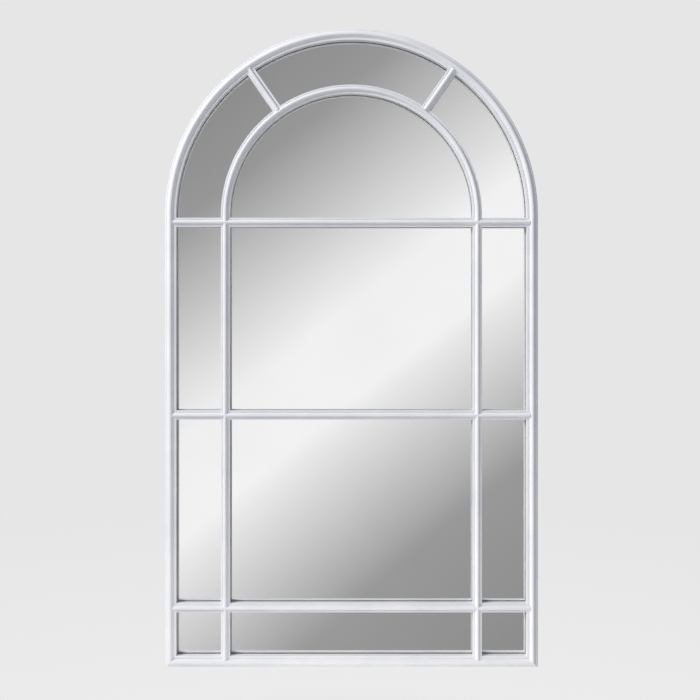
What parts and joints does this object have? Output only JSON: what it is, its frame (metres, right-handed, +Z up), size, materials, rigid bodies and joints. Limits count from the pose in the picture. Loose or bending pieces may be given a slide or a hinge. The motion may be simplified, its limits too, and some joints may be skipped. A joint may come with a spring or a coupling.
{
  "type": "arched mirror",
  "caption": "Wall-hung mirror with a round-arched white moulded frame, an inner arch and glazing bars over one arched sheet of mirror glass.",
  "frame": {"origin": "on the wall, midway between the two hooks that the mirror hangs on", "axes": "+Z up, +Y from the front to the wall, +X to the right seen from the front"},
  "size_m": [0.9, 0.0308, 1.54],
  "materials": {
    "white_lacquer": "white satin lacquer on moulded wood",
    "mirror_sheet": "clear float glass, silvered and painted at the back",
    "back_board": "brown hardboard, smooth face out",
    "beech": "bare beech",
    "zinc_steel": "bright zinc plate",
    "nickel_wire": "nickel plate",
    "rubber": "matt"
  },
  "bodies": {
    "frame": {"right_stile": "white_lacquer", "left_stile": "white_lacquer", "right_arch": "white_lacquer", "left_arch": "white_lacquer", "right_glazing_bar": "white_lacquer", "left_glazing_bar": "white_lacquer", "right_spoke": "white_lacquer", "left_spoke": "white_lacquer", "right_hanger_strap": "zinc_steel", "left_hanger_strap": "zinc_steel", "bottom_rail": "white_lacquer", "inner_arch": "white_lacquer", "upper_cross_bar": "white_lacquer", "middle_cross_bar": "white_lacquer", "lower_cross_bar": "white_lacquer", "mirror_glass": "mirror_sheet", "back_board": "back_board", "setting_blocks": "rubber", "mitre_biscuits": "beech", "springing_tenons": "beech", "crown_tenon": "beech", "hanger_screws": "zinc_steel", "wall_bumpers": "rubber", "turn_button_screws": "zinc_steel"},
    "right_hanger_ring": {"right_hanger_ring": "nickel_wire"},
    "left_hanger_ring": {"left_hanger_ring": "nickel_wire"},
    "right_turn_button_1": {"right_turn_button_1": "zinc_steel"},
    "right_turn_button_2": {"right_turn_button_2": "zinc_steel"},
    "right_turn_button_3": {"right_turn_button_3": "zinc_steel"},
    "right_turn_button_4": {"right_turn_button_4": "zinc_steel"},
    "right_turn_button_5": {"right_turn_button_5": "zinc_steel"},
    "left_turn_button_1": {"left_turn_button_1": "zinc_steel"},
    "left_turn_button_2": {"left_turn_button_2": "zinc_steel"},
    "left_turn_button_3": {"left_turn_button_3": "zinc_steel"},
    "left_turn_button_4": {"left_turn_button_4": "zinc_steel"},
    "left_turn_button_5": {"left_turn_button_5": "zinc_steel"}
  },
  "joints": [
    {"name": "right_ring_swing", "type": "hinge", "parent": "frame", "child": "right_hanger_ring", "pos_m": [0.4395, -0.00315, -0.0167], "axis": [1, 0, 0], "range_deg": [0, 180]},
    {"name": "left_ring_swing", "type": "hinge", "parent": "frame", "child": "left_hanger_ring", "pos_m": [-0.4395, -0.00315, -0.0167], "axis": [1, 0, 0], "range_deg": [0, 180]},
    {"name": "right_turn_button_1_turn", "type": "hinge", "parent": "frame", "child": "right_turn_button_1", "pos_m": [0.4415, -0.00585, -0.78], "axis": [0, 1, 0], "continuous": true},
    {"name": "right_turn_button_2_turn", "type": "hinge", "parent": "frame", "child": "right_turn_button_2", "pos_m": [0.4415, -0.00585, -0.2817], "axis": [0, 1, 0], "continuous": true},
    {"name": "right_turn_button_3_turn", "type": "hinge", "parent": "frame", "child": "right_turn_button_3", "pos_m": [0.22, -0.00585, -1.0115], "axis": [0, 1, 0], "continuous": true},
    {"name": "right_turn_button_4_turn", "type": "hinge", "parent": "frame", "child": "right_turn_button_4", "pos_m": [0.40789, -0.00585, 0.23896], "axis": [0, 1, 0], "continuous": true},
    {"name": "right_turn_button_5_turn", "type": "hinge", "parent": "frame", "child": "right_turn_button_5", "pos_m": [0.16895, -0.00585, 0.47789], "axis": [0, 1, 0], "continuous": true},
    {"name": "left_turn_button_1_turn", "type": "hinge", "parent": "frame", "child": "left_turn_button_1", "pos_m": [-0.4415, -0.00585, -0.78], "axis": [0, 1, 0], "continuous": true},
    {"name": "left_turn_button_2_turn", "type": "hinge", "parent": "frame", "child": "left_turn_button_2", "pos_m": [-0.4415, -0.00585, -0.2817], "axis": [0, 1, 0], "continuous": true},
    {"name": "left_turn_button_3_turn", "type": "hinge", "parent": "frame", "child": "left_turn_button_3", "pos_m": [-0.22, -0.00585, -1.0115], "axis": [0, 1, 0], "continuous": true},
    {"name": "left_turn_button_4_turn", "type": "hinge", "parent": "frame", "child": "left_turn_button_4", "pos_m": [-0.40789, -0.00585, 0.23896], "axis": [0, 1, 0], "continuous": true},
    {"name": "left_turn_button_5_turn", "type": "hinge", "parent": "frame", "child": "left_turn_button_5", "pos_m": [-0.16895, -0.00585, 0.47789], "axis": [0, 1, 0], "continuous": true}
  ]
}
